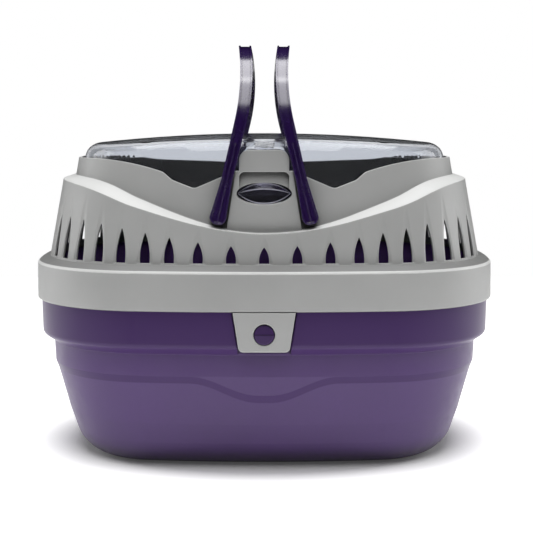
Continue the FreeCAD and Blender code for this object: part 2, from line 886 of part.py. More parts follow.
def flute(place, normal, foot, crest):
    """Leaning cone that hollows the drafted wall, from the sill to a point above the slot."""
    lean = math.tan(math.radians(value(of("wall_draft"))))
    depth = value(of("flute_depth"))
    foot_radius = (value(of("flute_half")) ** 2 + depth**2) / (2 * depth)
    top_radius = value(of("flute_top_radius"))
    lift = Vec(0, 0, 1)
    rings = []
    for radius, bite, level in ((foot_radius, depth, foot), (top_radius, 0, crest)):
        skin = lean * (value(SEAT) - level)
        centre = place + normal * (skin + radius - bite) + lift * level
        rings.append(Part.Wire(Part.Circle(centre, lift, radius).toShape()))
    return Part.makeLoft(rings, True, True)


def slot_cutters():
    """Pointed slots of the grille, each in a shallow flute fading out above it."""
    half = value(of("slot_width")) / 2
    foot = value(SILL)
    reach = value(of("overrun"))
    cutters = []
    for place, normal in slot_places():
        room = seat_height(place.x) - foot
        top = foot + room * value(of("slot_height_share"))
        wire = ogive(half, foot, top, place, normal, -reach)
        cutters.append(Part.Face(wire).extrude(normal * (2 * reach)))
        crest = foot + room * value(of("flute_height_share"))
        cutters.append(flute(place, normal, foot, crest))
    return shape_object("slot_cutters", Part.makeCompound(cutters))


def scoop_cutter():
    """Thumb recess under the lip, deepest at the top, and the oval hole for the boss."""
    face = below(add(TOWER_FACE, of("wall")))
    back = minus(of("scoop_depth"), TOWER_FACE)
    low = add(SEAT, of("scoop_low_rise"))
    wedge_corners = [(face, low), (below(TOWER_FACE), low), (back, TOWER_TOP), (face, TOWER_TOP)]
    wedge = side_prism("scoop_wedge", wedge_corners, below(of("half_depth")), of("half_depth"))
    top = minus(TOWER_TOP, of("rest_gap"))
    corners = mirrored_corners([
        (of("scoop_half"), low, of("scoop_round")),
        (of("scoop_half"), top, of("scoop_top_round")),
    ])
    reach = add(of("half_depth"), of("overrun"))
    outline_prism = front_prism("scoop_outline", corners, "0", reach)
    return common("scoop", wedge, outline_prism)


def oval_cutter():
    near = minus(of("half_depth"), of("core_inset"))
    start = Vec(0, -value(near), value(OVAL))
    ellipse = Part.Ellipse(Vec(), value(of("oval_half")), value(of("oval_half_height")))
    face = Part.Face(Part.Wire(ellipse.toShape()))
    face.Placement = FreeCAD.Placement(start, PLANES["XZ"])
    return shape_object("oval", face.extrude(Vec(0, -value(of("half_depth")), 0)))


def hinge_ears():
    """Two ears inside the rear wall that carry the lid's hinge pin."""
    inner = add(of("hinge_barrel_half"), of("hinge_ear_gap"))
    outer = add(inner, of("hinge_ear_width"))
    back = minus(of("half_depth"), upper_inset(HINGE), of("slide_gap"))
    tip = minus(HINGE_DEPTH, of("hinge_barrel_radius"))
    low = minus(HINGE, of("hinge_barrel_radius"))
    top = add(HINGE, of("hinge_barrel_radius"))
    bend = of("hinge_ear_round")
    corners = [(tip, low, bend), (back, low), (back, TOWER_TOP), (tip, top, bend)]
    ears = [
        side_prism("ear_right", corners, inner, outer),
        side_prism("ear_left", corners, below(outer), below(inner)),
    ]
    return fuse("hinge_ears", *ears)


def lid_stops():
    """Short ribs inside the ends on which the lid rests."""
    top = minus(LID_LOW, of("rest_gap"))
    low = minus(top, of("stop_height"))
    half = of("stop_half")
    corners = [(below(half), low), (half, low), (half, top), (below(half), top)]
    inner = minus(of("half_length"), of("lid_inset"), of("stop_reach"))
    outer = minus(of("half_length"), grille_inset(low), scaled(of("wall"), of("stop_root_share")))
    ribs = [
        side_prism("stop_right", corners, inner, outer),
        side_prism("stop_left", corners, below(outer), below(inner)),
    ]
    return fuse("lid_stops", *ribs)


def cover_shell():
    shell = cut("cover_blank", cover_outside(), cover_hollow())
    fitted = fuse("cover_fitted", shell, hinge_ears(), lid_stops())
    bores = pivot_bores()
    pin_radius = add(of("hinge_pin_radius"), of("pin_gap"))
    pin_bore = side_cylinder("ear_bore", pin_radius, of("tower_half"), HINGE_DEPTH, HINGE)
    openings = [slot_cutters(), scoop_cutter(), oval_cutter(), bores, turned("rear_bores", bores), pin_bore]
    return cut("cover_shell", fitted, group("cover_openings", *openings))


def latch_tab():
    """Flexible tab under the band, with the hole for the button."""
    top, low = latch_outline("0")
    low = low + (of("latch_round"),)
    corners = mirrored_corners([low, top])
    near = minus(of("half_depth"), of("overrun"))
    blank = front_prism("latch_blank", corners, near, add(of("half_depth"), of("overrun")))
    skin = loft("latch_skin", [("0", LATCH_LOW), ("0", BAND)])
    core = loft("latch_core", [(of("wall"), LATCH_LOW), (of("wall"), BAND)])
    plate = common("latch_plate", blank, cut("latch_ring", skin, core))
    radius = add(of("button_radius"), of("button_hole_gap"))
    hole = front_cylinder("latch_hole", radius, near, add(of("half_depth"), of("overrun")), "0", BUTTON)
    return cut("front_latch_tab", plate, hole)


# Release buttons


def button():
    """Stepped round button with a ramp on its upper half."""
    face = add(of("half_depth"), of("button_proud"))
    flange_front = minus(POCKET_DEPTH, of("rest_gap"))
    flange_back = minus(flange_front, of("flange_thickness"))
    stem = front_cylinder("button_stem", of("button_radius"), flange_back, face, "0", BUTTON)
    flange = front_cylinder("button_flange", of("flange_radius"), flange_back, flange_front, "0", BUTTON)
    ramp_top = add(BUTTON, of("overrun"))
    slope = f"({of('button_ramp')} / {of('button_radius')})"
    ramp_back = add(below(face), scaled(slope, of("overrun")))
    ramp_corners = [(below(face), BUTTON), (ramp_back, ramp_top), (below(face), ramp_top)]
    ramp = side_prism("button_ramp", ramp_corners, below(of("overrun")), of("overrun"))
    return cut("front_button", fuse("button_blank", stem, flange), ramp)


def button_housing():
    """Closed cup behind the button, fixed to the inside of the latch pocket."""
    inner = add(of("flange_radius"), of("housing_gap"))
    outer = add(inner, of("housing_wall"))
    back = minus(POCKET_DEPTH, of("housing_length"))
    hollow_back = add(back, of("housing_wall"))
    lip_back = minus(POCKET_DEPTH, of("housing_wall"))
    cup = front_cylinder("housing_cup", outer, back, POCKET_DEPTH, "0", BUTTON)
    lip = front_cylinder("housing_lip", add(outer, of("housing_lip")), lip_back, POCKET_DEPTH, "0", BUTTON)
    hollow = front_cylinder("housing_hollow", inner, hollow_back, of("half_depth"), "0", BUTTON)
    return cut("front_button_housing", fuse("housing_blank", cup, lip), hollow)


def button_spring():
    """Bowed leaf between the button and the back of its housing."""
    half = value(of("spring_half"))
    thickness = value(of("spring_thickness"))
    width = value(of("spring_half_width"))
    foot = -value(minus(POCKET_DEPTH, of("housing_length"), below(of("housing_wall"))))
    crest = -value(minus(POCKET_DEPTH, of("rest_gap"), of("flange_thickness")))
    level = value(BUTTON) - width

    def bow(reach, top, start):
        return Part.Arc(Vec(-reach, start, level), Vec(0, top, level), Vec(reach, start, level)).toShape()

    outer = bow(half, crest, foot)
    inner = bow(half - thickness, crest + thickness, foot)
    ends = [Part.LineSegment(outer.Vertexes[index].Point, inner.Vertexes[index].Point) for index in (0, 1)]
    face = Part.Face(Part.Wire(Part.__sortEdges__([outer, inner] + [end.toShape() for end in ends])))
    return shape_object("front_button_spring", face.extrude(Vec(0, 0, 2 * width)))


# Handles


def bail_outline(inset, drop, top_drop):
    """Side outline of the bail, thinned by an inset from outside and two drops from inside."""
    foot = minus(PIVOT, of("overrun"))
    outer = minus(LEG_OUTER, inset)
    outer_top = minus(BAIL_OUTER_TOP, inset)
    inner = add(LEG_INNER, drop)
    inner_top = add(BAIL_INNER_TOP, top_drop)
    outer_round = minus(add(of("bail_round"), of("leg_thickness")), inset)
    inner_round = add(of("bail_round"), drop)
    return [
        (below(outer), foot),
        (below(inner), foot),
        (below(inner), inner_top, inner_round),
        (inner, inner_top, inner_round),
        (inner, foot),
        (outer, foot),
        (outer, outer_top, outer_round),
        (below(outer), outer_top, outer_round),
    ]


def bend_corners(edge):
    """Front outline of the leg about its pivot, upright, narrowed by an edge on each side."""
    half = minus(of("strip_half"), edge)
    grip = minus(of("grip_half"), edge)
    flare = minus(of("flare_half"), edge)
    shift = scaled(grip, f"tan({of('bend_angle')} / 2)")
    reach = of("half_depth")
    tip_across = scaled(reach, f"sin({of('bend_angle')})")
    tip_level = add(of("bend_start"), scaled(reach, f"cos({of('bend_angle')})"))
    slide = scaled(grip, f"cos({of('bend_angle')})")
    rise = scaled(grip, f"sin({of('bend_angle')})")
    end_round = scaled(flare, of("flare_end_share"))
    return [
        (below(flare), below(flare), end_round),
        (flare, below(flare), end_round),
        (half, of("flare_length"), of("flare_round")),
        (grip, add(of("bend_start"), shift), add(of("bend_radius"), grip)),
        (minus(slide, tip_across), add(tip_level, rise)),
        (minus(below(slide), tip_across), minus(tip_level, rise)),
        (below(grip), minus(of("bend_start"), shift), minus(of("bend_radius"), grip)),
        (below(half), of("flare_length"), of("flare_round")),
    ]


def leg_prism(name, corners):
    """Leaning outline through the whole depth at the left pivots."""
    sketch = flat_outline(f"{name}_outline", "XZ", corners)
    lean = Turn(Vec(0, 1, 0), value(of("lean")))
    sketch.Placement = FreeCAD.Placement(Vec(), lean.multiply(PLANES["XZ"]))
    sketch.setExpression("Placement.Base.x", below(of("pivot_place")))
    sketch.setExpression("Placement.Base.y", of("half_depth"))
    sketch.setExpression("Placement.Base.z", PIVOT)
    return prism(name, sketch, scaled("2", of("half_depth")))


def pin_holes():
    """Blind holes for the pivot pins in the two legs of the left bail."""
    radius = add(of("pin_radius"), of("pin_gap"))
    far = add(LEG_INNER, of("pin_bite"))
    return front_cylinder("pin_holes", radius, below(far), far, below(of("pivot_place")), PIVOT)


def channel_cutter(reach):
    """Shallow channel along the outside of the bail, with a thin rib left low on the legs."""
    drop = minus(of("leg_thickness"), of("channel_depth"))
    top_drop = minus(of("grip_thickness"), of("channel_depth"))
    outline = bail_outline(below(of("overrun")), drop, top_drop)
    wrap = side_prism("channel_wrap", outline, below(reach), reach)
    channel = common("channel", wrap, leg_prism("channel_leg", bend_corners(of("channel_edge"))))
    half = of("rib_half")
    low = below(of("flare_half"))
    rib_corners = [(below(half), low), (half, low), (half, of("rib_length")), (below(half), of("rib_length"))]
    return cut("ribbed_channel", channel, leg_prism("rib", rib_corners))


def handle():
    """Left bail: a bent strip with a shallow channel along its outside."""
    reach = of("half_length")
    strip = side_prism("bail_strip", bail_outline("0", "0", "0"), below(reach), reach)
    bail = common("bail", strip, leg_prism("leg", bend_corners("0")))
    return cut("handle_left", bail, group("handle_cuts", channel_cutter(reach), pin_holes()))


def handle_pins():
    """Headed pins from inside the cover into the two legs of the left bail."""
    place = below(of("pivot_place"))
    head_front = minus(of("half_depth"), upper_inset(PIVOT), of("wall"), of("pin_head_gap"))
    head_back = minus(head_front, of("pin_head_thickness"))
    tip = minus(add(LEG_INNER, of("pin_bite")), of("pin_gap"))
    pins = []
    for side, sign in (("front", "1"), ("rear", "-1")):
        ends = [scaled(sign, head_back), scaled(sign, head_front), scaled(sign, tip)]
        near, far = (0, 2) if sign == "1" else (2, 0)
        head_ends = (0, 1) if sign == "1" else (1, 0)
        shank = front_cylinder(f"{side}_shank", of("pin_radius"), ends[near], ends[far], place, PIVOT)
        head_range = [ends[index] for index in head_ends]
        head = front_cylinder(f"{side}_head", of("pin_head_radius"), *head_range, place, PIVOT)
        pins.append(fuse(f"{side}_pin", shank, head))
    return group("handle_left_pins", *pins)


# Lid


def crowned(name, inset, drop, edge_round):
    """Crowned tray outline of the lid, set in and lowered, with a rounded top edge."""
    low_inset = add(of("lid_inset"), inset)
    top_inset = add(low_inset, of("lid_draft"))
    low = minus(LID_LOW, drop)
    blank = loft(f"{name}_blank", [(low_inset, low), (top_inset, ABOVE_ALL)])
    ball = doc.addObject("Part::Sphere", f"{name}_ball")
    ball.setExpression("Radius", minus(of("lid_crown_radius"), drop))
    ball.setExpression("Placement.Base.z", minus(LID_TOP, of("lid_crown_radius")))
    body = common(f"{name}_crowned", blank, ball)
    middle = value(RIM)

    def top_edge(edge):
        return edge.BoundBox.ZMin > middle

    return rounded(name, body, top_edge, edge_round)


def lid_parts():
    """Lid with its hinge barrel, and the latch tongue with its boss."""
    outside = crowned("lid_outside", "0", "0", of("lid_round"))
    inside_round = minus(of("lid_round"), of("lid_wall"))
    inside = crowned("lid_inside", of("lid_wall"), of("lid_wall"), inside_round)
    shell = cut("lid_tray", outside, inside)
    notched = cut("lid_notched", shell, hinge_notch())
    barrel = hinge_barrel(outside)
    bore = add(of("hinge_pin_radius"), of("pin_gap"))
    hole = side_cylinder("barrel_bore", bore, of("tower_half"), HINGE_DEPTH, HINGE)
    lid = cut("lid_shell", fuse("lid_solid", notched, barrel), hole)
    tongue = cut("lid_latch_tongue", tongue_blank(), outside)
    return lid, tongue


def hinge_notch():
    """Gap in the rear wall of the lid for the ears of the cover."""
    half = add(of("hinge_barrel_half"), of("hinge_ear_gap"), of("hinge_ear_width"), of("hinge_notch_gap"))
    top = add(HINGE, of("hinge_barrel_radius"), of("hinge_notch_gap"))
    tip = minus(HINGE_DEPTH, of("hinge_barrel_radius"), of("hinge_notch_gap"))
    low = minus(LID_LOW, of("overrun"))
    corners = [(tip, low), (of("half_depth"), low), (of("half_depth"), top), (tip, top)]
    return side_prism("hinge_notch", corners, below(half), half)


def hinge_barrel(outside):
    """Barrel on the hinge pin with a web up to the top of the lid."""
    half = of("hinge_barrel_half")
    barrel = side_cylinder("barrel", of("hinge_barrel_radius"), half, HINGE_DEPTH, HINGE)
    near = minus(HINGE_DEPTH, of("hinge_barrel_radius"))
    corners = [(near, HINGE), (HINGE_DEPTH, HINGE), (HINGE_DEPTH, ABOVE_ALL), (near, ABOVE_ALL)]
    web_blank = side_prism("web_blank", corners, below(half), half)
    return fuse("hinge_barrel", barrel, common("hinge_web", web_blank, outside))


def tongue_blank():
    """Plate behind the tower with a pad onto the lid and a wedge-faced oval boss."""
    back_face = minus(of("half_depth"), upper_inset(TOWER_TOP), of("wall"), of("tongue_gap"))
    near = minus(back_face, of("tongue_thickness"))
    low = add(SEAT, of("tongue_low_rise"))
    top = add(SEAT, of("tongue_top_rise"))
    corner = of("scoop_round")
    plate_corners = mirrored_corners([(of("tongue_half"), low, corner), (of("tongue_half"), top)])
    plate = front_prism("tongue_plate", plate_corners, near, back_face)
    pad_low = add(SEAT, of("tongue_pad_rise"))
    pad_corners = mirrored_corners([(of("tongue_half"), pad_low), (of("tongue_half"), top)])
    pad_near = minus(of("half_depth"), of("lid_inset"), of("lid_draft"), of("lid_wall"))
    pad = front_prism("tongue_pad", pad_corners, pad_near, back_face)
    return fuse("tongue_blank", plate, pad, tongue_boss(near))


def lens(half, brow, chin, depth):
    """Pointed oval wire in front view with different upper and lower bulges."""
    level = value(OVAL)
    tips = [Vec(-half, -depth, level), Vec(half, -depth, level)]
    upper = Part.Arc(tips[0], Vec(0, -depth, level + brow), tips[1]).toShape()
    lower = Part.Arc(tips[1], Vec(0, -depth, level - chin), tips[0]).toShape()
    return Part.Wire([upper, lower])


def tongue_boss(near):
    half = value(of("boss_half"))
    height = value(of("boss_half_height"))
    start = value(near)
    shoulder = value(add(near, of("tongue_thickness"), of("boss_reach")))
    face = shoulder + value(of("tongue_thickness"))
    brow = value(of("boss_brow_height"))
    wires = [
        lens(half, height, height, start),
        lens(half, height, height, shoulder),
        lens(half, brow, height, face),
    ]
    return shape_object("tongue_boss", Part.makeLoft(wires, True, True))


def hinge_pin():
    return side_cylinder(
        "lid_hinge_pin", of("hinge_pin_radius"), of("hinge_pin_half"), HINGE_DEPTH, HINGE
    )


# Build, check and write


def build():
    lid, tongue = lid_parts()
    left_handle = handle()
    left_pins = handle_pins()
    tab = latch_tab()
    press = button()
    housing = button_housing()
    spring = button_spring()
    return {
        "base_tub": base_tub(),
        "cover_shell": cover_shell(),
        "front_latch_tab": tab,
        "rear_latch_tab": turned("rear_latch_tab", tab),
        "front_button": press,
        "rear_button": turned("rear_button", press),
        "front_button_housing": housing,
        "rear_button_housing": turned("rear_button_housing", housing),
        "front_button_spring": spring,
        "rear_button_spring": turned("rear_button_spring", spring),
        "lid_shell": lid,
        "lid_latch_tongue": tongue,
        "lid_hinge_pin": hinge_pin(),
        "handle_left": left_handle,
        "handle_right": mirrored("handle_right", left_handle),
        "handle_left_pins": left_pins,
        "handle_right_pins": mirrored("handle_right_pins", left_pins),
    }


parts = build()
doc.recompute()
for thing in doc.Objects:
    if {"Invalid", "Error"} & set(thing.State):
        raise RuntimeError(f"{thing.Name} did not build")
os.makedirs("parts", exist_ok=True)
for node, thing in parts.items():
    thing.Label = node
    if thing.Shape.isNull() or not thing.Shape.isValid():
        raise RuntimeError(f"{node} is not a valid shape")
    thing.Shape.exportStep(f"parts/{node}.step")
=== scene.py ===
import math

import bmesh
import bpy
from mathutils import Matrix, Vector


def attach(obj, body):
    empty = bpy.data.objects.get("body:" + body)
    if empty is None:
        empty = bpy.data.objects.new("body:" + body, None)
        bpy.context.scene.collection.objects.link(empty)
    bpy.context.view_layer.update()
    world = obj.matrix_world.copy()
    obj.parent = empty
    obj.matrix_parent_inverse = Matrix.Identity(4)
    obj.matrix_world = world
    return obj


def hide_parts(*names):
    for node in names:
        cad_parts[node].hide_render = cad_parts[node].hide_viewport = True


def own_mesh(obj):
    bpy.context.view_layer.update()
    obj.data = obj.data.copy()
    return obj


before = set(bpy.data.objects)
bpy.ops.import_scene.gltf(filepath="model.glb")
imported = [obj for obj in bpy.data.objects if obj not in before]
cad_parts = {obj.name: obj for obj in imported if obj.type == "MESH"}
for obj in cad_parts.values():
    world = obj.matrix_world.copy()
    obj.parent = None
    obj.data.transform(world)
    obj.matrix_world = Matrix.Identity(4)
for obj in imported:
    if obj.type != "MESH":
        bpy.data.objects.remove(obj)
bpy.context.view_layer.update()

# Small animal carrier: finishes of the CAD nodes, with painted shade in hollows, corners, the
# buttons' crease, the tub's skirt and wave band and the cover's shoulder, edges lightened by wear
# and by painted highlight, and painted highlights on the cover's upward faces and its band's
# upper edge;
# pale beads painted as highlights on the edges of the lid's snap boss, leaf springs behind the
# buttons, a pale floor, soft boxes and the photograph's camera.
# Metres, in the frame of the imported model: +Z is up and -Y is the front.

# Camera of the photograph: place, dip in degrees, lens and sensor in millimetres
CAMERA_PLACE = (0.0019, -1.140, 0.292)
CAMERA_DIP = 6.6
LENS = 83.55
SENSOR = 36.0

# Moulded plastics: linear colour, roughness, strength of the grain and specular level
GREY_PLASTIC = ((0.440, 0.443, 0.438), 0.42, 0.12, 0.5)
PURPLE_PLASTIC = ((0.084, 0.039, 0.163), 0.36, 0.10, 0.4)
BUTTON_PLASTIC = ((0.048, 0.021, 0.094), 0.36, 0.10, 0.4)
VIOLET_PLASTIC = ((0.022, 0.006, 0.070), 0.24, 0.04, 0.7)
COAT_ROUGHNESS = 0.16
COAT_IOR = 1.7

# Clear plastics: linear colour and mean roughness, and the spread around that mean
LID_PLASTIC = ((0.74, 0.76, 0.80), 0.04)
TONGUE_PLASTIC = ((0.34, 0.33, 0.42), 0.14)
CLEAR_SPREAD = (0.5, 1.5)
CLEAR_IOR = 1.38

# Plain finishes: linear colour, range of roughness and metallic share
# Pale colour that paints the highlight on the clear boss's edges
BOSS_HIGHLIGHT = ((0.52, 0.51, 0.62), (0.12, 0.22), 0.0)
SPRING_STEEL = ((0.56, 0.56, 0.58), (0.25, 0.40), 1.0)

# Noise: the middle of its values that is used, scales in cycles per metre, and depths in metres
NOISE_RANGE = (0.3, 0.7)
MOTTLE_SCALE = 14.0
MOTTLE_DETAIL = 5.0
MOTTLE_SHARE = 0.05
SATIN_SCALE = 90.0
SATIN_DETAIL = 6.0
SATIN_SPREAD = 0.05
PLAIN_DETAIL = 4.0
GRAIN_SCALE = 2600.0
GRAIN_DETAIL = 3.0
GRAIN_DEPTH = 0.00012
FLOW_SCALE = 22.0
FLOW_DETAIL = 2.0
FLOW_DEPTH = 0.0004
FLOW_STRENGTH = 0.15

# Ranges of a share that rises, and of one that falls
RISING = (0.0, 1.0)
FALLING = (1.0, 0.0)

# Edges, lightened by wear and by painted highlight: radius of the softened edge, agreement of the
# normals and added tone
EDGE_RADIUS = 0.0015
EDGE_SAMPLES = 6
WEAR_AND_HIGHLIGHT_AGREEMENT = (1.0, 0.8)
WEAR_AND_HIGHLIGHT_SHARE = 0.5

# Painted shade in deep hollows: reach of the test, open shares between dark and full colour,
# darkest tones
OPEN_SAMPLES = 6
HOLLOW_REACH = 0.5
HOLLOW_OPEN = (0.12, 0.46)
HOLLOW_SHADE_SHARE = 0.07
TUB_HOLLOW_SHADE_SHARE = 0.25

# Painted shade in narrow corners: reach, open shares and darkest tone
CORNER_REACH = 0.018
CORNER_OPEN = (0.35, 0.88)
CORNER_SHADE_SHARE = 0.5

# Polished skirt and wave band of the tub, darker as painted shade and smoother and shinier as a
# real finish: levels, lean of the band's face, tone of the painted shade and gloss
SKIRT_LEVEL = (0.1095, 0.1105)
WAVE_FOOT = (0.048, 0.052)
WAVE_LEAN = (-0.295, -0.34)
POLISH_SHADE_SHARE = 0.7
POLISH_ROUGHNESS = 0.32
POLISH_SPECULAR = 0.24

# Painted highlight on the cover's upward faces of seat and rim: lowest level, lean of the faces
# and tone
SEAT_HIGHLIGHT_LEVEL = (0.184, 0.187)
SEAT_HIGHLIGHT_LEAN = (0.35, 0.7)
PAINTED_HIGHLIGHT_SHARE = 1.75

# Painted highlight line along the upper edge of the cover's band: levels, lean of the rounding
# from both sides and weight
HIGHLIGHT_LINE_LOW = (0.164, 0.166)
HIGHLIGHT_LINE_HIGH = (0.1735, 0.1745)
HIGHLIGHT_LINE_LEAN = (0.05, 0.25)
HIGHLIGHT_LINE_FLAT = (0.915, 0.86)
HIGHLIGHT_LINE_WEIGHT = 0.9

# Painted shade on the shoulder behind that edge: levels, lean and tone
SHOULDER_LOW = (0.171, 0.172)
SHOULDER_HIGH = (0.1772, 0.1778)
SHOULDER_LEAN = (0.87, 0.912)
SHOULDER_SHADE_SHARE = 0.6

# Painted shade along the crease across the buttons: level, half width and tone
BUTTON_LEVEL = 0.122
CREASE_HALF = (0.0003, 0.0007)
CREASE_SHADE_SHARE = 0.45

# Edges of the clear snap boss, where pale beads paint its highlights: level and half distance of
# its tips, bulges and depths
BOSS_LEVEL = 0.2349
BOSS_HALF = 0.0216
BOSS_BULGE = 0.0083
BOSS_BROW = 0.0036
BOSS_SHOULDER = 0.1219
BOSS_FACE = 0.1240

# Beads along those edges: radius in the middle, share of it at the tips, steps and sides
BEAD_RADIUS = 0.00055
BEAD_TIP = 0.4
BEAD_STEPS = 32
BEAD_SIDES = 8
BACKWARD = Vector((0, 1, 0))

# Leaf springs behind the buttons: depths of foot and crest, half length, half width and sheet
SPRING_FOOT = 0.1245
SPRING_CREST = 0.1356
SPRING_HALF = 0.0095
SPRING_HALF_WIDTH = 0.003
SPRING_SHEET = 0.0006
SPRING_STEPS = 28
SPRING_CORNERS = 4

# Studio lights: place, target, width, height and power
AIM = (0, 0, 0.2)
LIGHTS = {
    "key": ((0, -1.2, 1.7), AIM, 0.9, 1.4, 11.5),
    "top": ((0, -0.15, 1.8), AIM, 1.6, 1.2, 24),
    "left": ((-1.5, 0.25, 0.6), AIM, 1.0, 1.3, 7.2),
    "right": ((1.5, 0.25, 0.6), AIM, 1.0, 1.3, 7.9),
}
WHITE = (1.0, 1.0, 1.0)

# Floor: colour, size, and a glow that grows over rings around the carrier's footprint
FLOOR_COLOUR = (0.92, 0.92, 0.92)
FLOOR_ROUGHNESS = 0.9
FLOOR_HALF = 1.2
FLOOR_FRONT = 0.6
FLOOR_GLOW = (0.05, 0.68)
FOOTPRINT = (0.203, 0.153, 1.0)
GLOW_RINGS = (0.84, 1.06)


def link(tree, source, output, target, socket):
    """Join an output of one node to a socket of another."""
    tree.links.new(source.outputs[output], target.inputs[socket])


def node(tree, kind, **settings):
    """New shader node with its plain properties set."""
    made = tree.nodes.new(kind)
    for key, value in settings.items():
        setattr(made, key, value)
    return made


def noise(tree, place, scale, detail):
    """Noise in object coordinates."""
    made = node(tree, "ShaderNodeTexNoise")
    made.inputs["Scale"].default_value = scale
    made.inputs["Detail"].default_value = detail
    link(tree, place, "Object", made, "Vector")
    return made


def remap(tree, source, output, before, after):
    """Value spread from one range over another."""
    made = node(tree, "ShaderNodeMapRange")
    made.inputs["From Min"].default_value = before[0]
    made.inputs["From Max"].default_value = before[1]
    made.inputs["To Min"].default_value = after[0]
    made.inputs["To Max"].default_value = after[1]
    link(tree, source, output, made, "Value")
    return made


def spread(tree, source, low, high):
    """Noise value spread over a range."""
    return remap(tree, source, "Fac", NOISE_RANGE, (low, high))


def opaque(colour, share=1.0):
    """Colour with a brightness share and full cover."""
    return tuple(channel * share for channel in colour) + (1.0,)


def blend(tree, factor, low, high):
    """Mix of two colours, each a plain colour or a node that gives one."""
    made = node(tree, "ShaderNodeMix", data_type="RGBA")
    link(tree, factor, 0, made, "Factor")
    for socket, colour in (("A", low), ("B", high)):
        if isinstance(colour, tuple):
            made.inputs[socket].default_value = colour
        else:
            link(tree, colour, "Result", made, socket)
    return made


def mottled(tree, place, colour, detail):
    """Colour that drifts slowly between a little darker and a little lighter."""
    drift = spread(tree, noise(tree, place, MOTTLE_SCALE, detail), *RISING)
    return blend(tree, drift, opaque(colour, 1 - MOTTLE_SHARE), opaque(colour, 1 + MOTTLE_SHARE))


def bumped(tree, texture, strength, depth):
    """Normal that a noise texture disturbs."""
    made = node(tree, "ShaderNodeBump")
    made.inputs["Strength"].default_value = strength
    made.inputs["Distance"].default_value = depth
    link(tree, texture, "Fac", made, "Height")
    return made


def material(name):
    """New material with its node tree and its shader."""
    made = bpy.data.materials.new(name)
    made.use_nodes = True
    return made, made.node_tree, made.node_tree.nodes["Principled BSDF"]


def wear_and_edge_highlight(tree, soft):
    """Share of wear and painted edge highlight: high where the softened normal leaves the true
    one.
    """
    shape = node(tree, "ShaderNodeNewGeometry")
    close = node(tree, "ShaderNodeVectorMath", operation="DOT_PRODUCT")
    link(tree, soft, "Normal", close, 0)
    link(tree, shape, "Normal", close, 1)
    return remap(tree, close, "Value", WEAR_AND_HIGHLIGHT_AGREEMENT, RISING)


def openness(tree, reach, shares):
    """Share of a point that is open to its surroundings within a reach."""
    made = node(tree, "ShaderNodeAmbientOcclusion", samples=OPEN_SAMPLES)
    made.inputs["Distance"].default_value = reach
    return remap(tree, made, "AO", shares, RISING)


def z_part(tree, source, output):
    """Node that gives the Z part of a vector."""
    made = node(tree, "ShaderNodeSeparateXYZ")
    link(tree, source, output, made, "Vector")
    return made


def level_and_lean(tree, place):
    """Height of a point on a node, and how far its face looks up."""
    level = z_part(tree, place, "Object")
    return level, z_part(tree, node(tree, "ShaderNodeNewGeometry"), "Normal")


def combine(tree, operation, first, second):
    """Two shares joined by one math operation."""
    made = node(tree, "ShaderNodeMath", operation=operation)
    for socket, source in enumerate((first, second)):
        link(tree, source, 0, made, socket)
    return made


def between(tree, level, low, high):
    """Share that rises over a low range of levels and falls over a high one."""
    above = remap(tree, level, "Z", low, RISING)
    below = remap(tree, level, "Z", high, FALLING)
    return combine(tree, "MULTIPLY", above, below)


def polish_and_shade(tree, place):
    """Share of the polished finish and painted shade on the tub: its skirt and the steep face of
    the wave band.
    """
    level, lean = level_and_lean(tree, place)
    skirt = remap(tree, level, "Z", SKIRT_LEVEL, RISING)
    steep = remap(tree, lean, "Z", WAVE_LEAN, RISING)
    above = remap(tree, level, "Z", WAVE_FOOT, RISING)
    return combine(tree, "MAXIMUM", skirt, combine(tree, "MULTIPLY", steep, above))


def painted_highlights(tree, place):
    """Share of painted highlight on the cover: upward faces of seat and rim, and the band's upper
    edge.
    """
    level, lean = level_and_lean(tree, place)
    upward = remap(tree, lean, "Z", SEAT_HIGHLIGHT_LEAN, RISING)
    seat = combine(tree, "MULTIPLY", upward, remap(tree, level, "Z", SEAT_HIGHLIGHT_LEVEL, RISING))
    turned = remap(tree, lean, "Z", HIGHLIGHT_LINE_LEAN, RISING)
    not_flat = remap(tree, lean, "Z", HIGHLIGHT_LINE_FLAT, (0.0, HIGHLIGHT_LINE_WEIGHT))
    rounding = combine(tree, "MULTIPLY", turned, not_flat)
    edge_line = combine(tree, "MULTIPLY", rounding, between(tree, level, HIGHLIGHT_LINE_LOW, HIGHLIGHT_LINE_HIGH))
    return combine(tree, "MAXIMUM", seat, edge_line)


def shoulder(tree, place):
    """Share of painted shade on the sloping shoulder between the cover's band and its grille."""
    level, lean = level_and_lean(tree, place)
    sloping = remap(tree, lean, "Z", SHOULDER_LEAN, RISING)
    within = between(tree, level, SHOULDER_LOW, SHOULDER_HIGH)
    return combine(tree, "MULTIPLY", sloping, within)


def crease(tree, place):
    """Share of painted shade along the crease across a button."""
    level = z_part(tree, place, "Object")
    offset = node(tree, "ShaderNodeMath", operation="SUBTRACT")
    link(tree, level, "Z", offset, 0)
    offset.inputs[1].default_value = BUTTON_LEVEL
    away = node(tree, "ShaderNodeMath", operation="ABSOLUTE")
    link(tree, offset, "Value", away, 0)
    return remap(tree, away, "Value", CREASE_HALF, FALLING)


def smoother(tree, share, gloss):
    """Roughness that turns to the polished one by a share."""
    made = node(tree, "ShaderNodeMix", data_type="FLOAT")
    link(tree, share, 0, made, "Factor")
    link(tree, gloss, "Result", made, "A")
    made.inputs["B"].default_value = POLISH_ROUGHNESS
    return made


